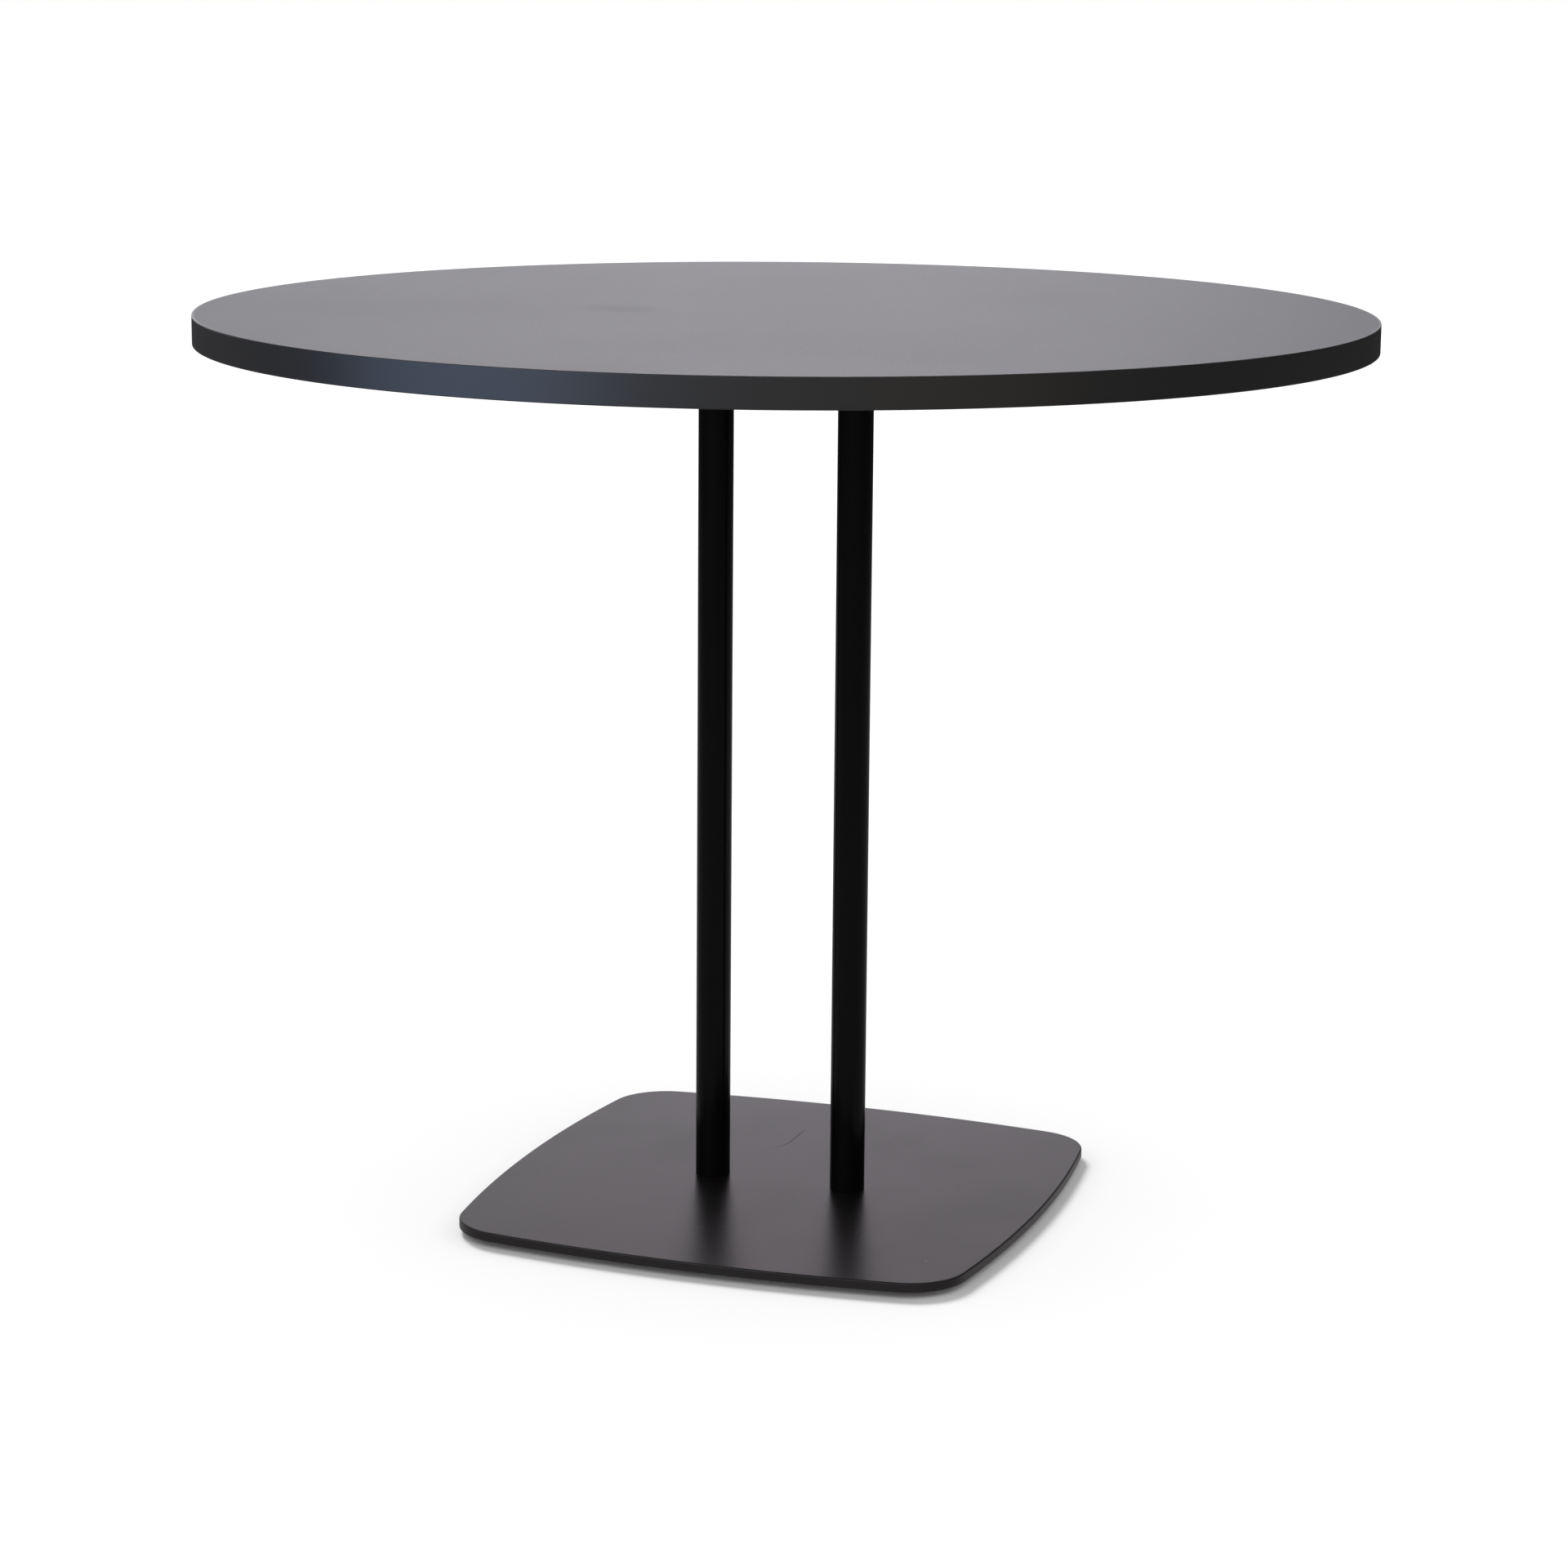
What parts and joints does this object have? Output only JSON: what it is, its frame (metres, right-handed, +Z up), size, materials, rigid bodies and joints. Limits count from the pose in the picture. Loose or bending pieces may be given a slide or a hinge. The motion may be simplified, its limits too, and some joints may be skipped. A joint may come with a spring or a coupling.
{
  "type": "dining table",
  "caption": "Round dining table with a dark laminate top on two close round steel columns and a bowed square steel base plate with low levelling glides.",
  "frame": {"origin": "middle of the table on the floor, midway between the two columns", "axes": "+Z up; X runs along the row of the two columns, left column on -X; Y across it, front on -Y"},
  "size_m": [0.95, 0.95, 0.745],
  "materials": {
    "top_laminate": "matte, very fine grain",
    "edge_band": "satin",
    "backing_laminate": "matte",
    "board": "bare pressed wood fibre",
    "powder_coat": "satin powder coat",
    "zinc_steel": "bright zinc plate",
    "glide_nylon": "moulded",
    "glide_sole": "dense felt"
  },
  "bodies": {
    "table_frame": {"top_board": "board", "top_laminate": "top_laminate", "backing_laminate": "backing_laminate", "edge_band": "edge_band", "mounting_plate": "powder_coat", "top_screws": "zinc_steel", "head_bolts": "zinc_steel", "column_left": "powder_coat", "column_right": "powder_coat", "head_plug_left": "zinc_steel", "head_plug_right": "zinc_steel", "foot_plug_left": "zinc_steel", "foot_plug_right": "zinc_steel", "foot_bolts": "zinc_steel", "base_plate": "powder_coat"},
    "sole_front_left": {"glide_sole_front_left": "glide_sole"},
    "glide_front_left": {"glide_stud_front_left": "zinc_steel", "glide_shell_front_left": "glide_nylon"},
    "sole_front_right": {"glide_sole_front_right": "glide_sole"},
    "glide_front_right": {"glide_stud_front_right": "zinc_steel", "glide_shell_front_right": "glide_nylon"},
    "sole_back_left": {"glide_sole_back_left": "glide_sole"},
    "glide_back_left": {"glide_stud_back_left": "zinc_steel", "glide_shell_back_left": "glide_nylon"},
    "sole_back_right": {"glide_sole_back_right": "glide_sole"},
    "glide_back_right": {"glide_stud_back_right": "zinc_steel", "glide_shell_back_right": "glide_nylon"}
  },
  "joints": [
    {"name": "glide_lift_front_left", "type": "slide", "parent": "table_frame", "child": "sole_front_left", "axis": [0, 0, -1], "range_m": [0, 0.0025]},
    {"name": "glide_turn_front_left", "type": "hinge", "parent": "sole_front_left", "child": "glide_front_left", "pos_m": [-0.1775, -0.1775, 0.005], "axis": [0, 0, -1], "range_deg": [0, 720]},
    {"name": "glide_lift_front_right", "type": "slide", "parent": "table_frame", "child": "sole_front_right", "axis": [0, 0, -1], "range_m": [0, 0.0025]},
    {"name": "glide_turn_front_right", "type": "hinge", "parent": "sole_front_right", "child": "glide_front_right", "pos_m": [0.1775, -0.1775, 0.005], "axis": [0, 0, -1], "range_deg": [0, 720]},
    {"name": "glide_lift_back_left", "type": "slide", "parent": "table_frame", "child": "sole_back_left", "axis": [0, 0, -1], "range_m": [0, 0.0025]},
    {"name": "glide_turn_back_left", "type": "hinge", "parent": "sole_back_left", "child": "glide_back_left", "pos_m": [-0.1775, 0.1775, 0.005], "axis": [0, 0, -1], "range_deg": [0, 720]},
    {"name": "glide_lift_back_right", "type": "slide", "parent": "table_frame", "child": "sole_back_right", "axis": [0, 0, -1], "range_m": [0, 0.0025]},
    {"name": "glide_turn_back_right", "type": "hinge", "parent": "sole_back_right", "child": "glide_back_right", "pos_m": [0.1775, 0.1775, 0.005], "axis": [0, 0, -1], "range_deg": [0, 720]}
  ],
  "couplings": [
    {"joint": "glide_turn_front_left", "follows": "glide_lift_front_left", "rad_per_m": 5026.5},
    {"joint": "glide_turn_front_right", "follows": "glide_lift_front_right", "rad_per_m": 5026.5},
    {"joint": "glide_turn_back_left", "follows": "glide_lift_back_left", "rad_per_m": 5026.5},
    {"joint": "glide_turn_back_right", "follows": "glide_lift_back_right", "rad_per_m": 5026.5}
  ]
}
